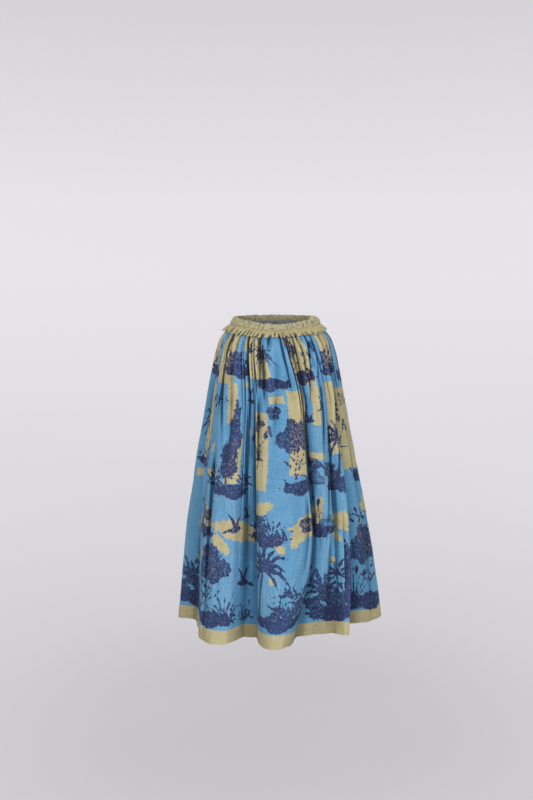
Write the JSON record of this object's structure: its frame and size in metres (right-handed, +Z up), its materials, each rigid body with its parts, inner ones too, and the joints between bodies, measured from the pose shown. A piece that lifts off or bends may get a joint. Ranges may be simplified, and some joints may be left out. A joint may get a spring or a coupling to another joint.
{
  "type": "calico skirt",
  "caption": "Full mid-calf calico skirt in its worn, hollow form: two gathered panels under a ruched waistband with a small pleated frill.",
  "frame": {"origin": "centre of the waist opening, level with the waistband's upper edge at the sides", "axes": "+Z up along the skirt's length, out of the waist; -Y to the front; +X to the right as seen from the front"},
  "size_m": [0.5885, 0.6133, 0.8754],
  "materials": {
    "calico": "matte plain-weave cotton, printed blue, khaki and navy",
    "khaki_cotton": "matte plain-weave cotton, undyed khaki"
  },
  "bodies": {
    "root": {"front_panel": "calico", "back_panel": "calico", "waistband": "khaki_cotton", "frill": "khaki_cotton"}
  },
  "joints": []
}
